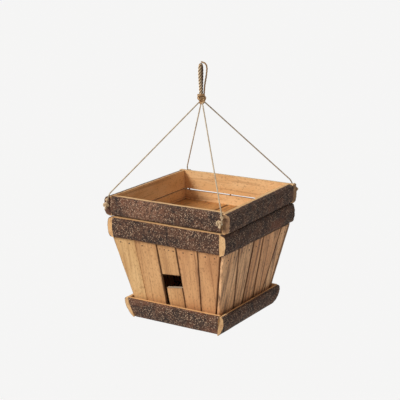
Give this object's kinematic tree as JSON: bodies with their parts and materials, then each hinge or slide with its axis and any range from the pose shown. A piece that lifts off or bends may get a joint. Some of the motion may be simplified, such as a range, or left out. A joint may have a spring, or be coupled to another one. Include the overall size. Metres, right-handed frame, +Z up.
{
  "type": "hanging birdhouse planter",
  "caption": "Hanging wooden birdhouse planter: tapered slat walls with a bird entry, bark-covered rim rails round a planting tray, bark base slats, hung by cords from a rope loop.",
  "frame": {"origin": "where a hook bears on the inside of the rope loop, on the hanging axis; the whole object hangs below it", "axes": "+Z up along the hanging axis, -Y out of the wall with the bird entry, +X to the right for someone facing the entry"},
  "size_m": [0.202, 0.2156, 0.3652],
  "materials": {
    "slat_wood": "sawn, unpainted, weathered honey brown",
    "board_wood": "sawn, unpainted",
    "bark_rail": "natural bark outside, sawn pale wood on the flat sides and ends",
    "nail_steel": "dull, slightly rusted",
    "jute_cord": "twisted jute twine",
    "rope": "twisted jute rope"
  },
  "bodies": {
    "hanger": {"hang_loop": "rope", "loop_tail": "rope"},
    "neck": {"neck_wrap": "jute_cord"},
    "knot": {"gathering_knot": "jute_cord"},
    "planter": {"back_slat_1": "slat_wood", "back_slat_2": "slat_wood", "back_slat_3": "slat_wood", "back_slat_4": "slat_wood", "back_slat_5": "slat_wood", "base_pins": "nail_steel", "base_plate": "board_wood", "base_slat_back": "bark_rail", "base_slat_front": "bark_rail", "base_slat_left": "bark_rail", "base_slat_right": "bark_rail", "bridle_cord_back_left": "jute_cord", "bridle_cord_back_right": "jute_cord", "bridle_cord_front_left": "jute_cord", "bridle_cord_front_right": "jute_cord", "course_pins": "nail_steel", "floor_nails": "nail_steel", "floor_plank_left": "board_wood", "floor_plank_middle": "board_wood", "floor_plank_right": "board_wood", "foot_batten_back": "board_wood", "foot_batten_front": "board_wood", "foot_batten_left": "board_wood", "foot_batten_right": "board_wood", "front_slat_1": "slat_wood", "front_slat_2": "slat_wood", "front_slat_3_lower": "slat_wood", "front_slat_3_upper": "slat_wood", "front_slat_4": "slat_wood", "front_slat_5": "slat_wood", "left_slat_1": "slat_wood", "left_slat_2": "slat_wood", "left_slat_3": "slat_wood", "left_slat_4": "slat_wood", "left_slat_5": "slat_wood", "lower_rail_back": "bark_rail", "lower_rail_front": "bark_rail", "lower_rail_left": "bark_rail", "lower_rail_right": "bark_rail", "rail_pins": "nail_steel", "right_slat_1": "slat_wood", "right_slat_2": "slat_wood", "right_slat_3": "slat_wood", "right_slat_4": "slat_wood", "right_slat_5": "slat_wood", "slat_nails": "nail_steel", "tie_nails": "nail_steel", "tray_batten_back": "board_wood", "tray_batten_front": "board_wood", "tray_batten_left": "board_wood", "tray_batten_right": "board_wood", "upper_rail_back": "bark_rail", "upper_rail_front": "bark_rail", "upper_rail_left": "bark_rail", "upper_rail_right": "bark_rail"}
  },
  "joints": [
    {"name": "rope_twist", "type": "hinge", "parent": "hanger", "child": "neck", "pos_m": [0, 0, -0.048], "axis": [0, 0, 1], "range_deg": [-180, 180]},
    {"name": "knot_swing_front_back", "type": "hinge", "parent": "neck", "child": "knot", "pos_m": [0, 0, -0.048], "axis": [1, 0, 0], "range_deg": [-30, 30]},
    {"name": "knot_swing_left_right", "type": "hinge", "parent": "knot", "child": "planter", "pos_m": [0, 0, -0.048], "axis": [0, 1, 0], "range_deg": [-30, 30]}
  ]
}
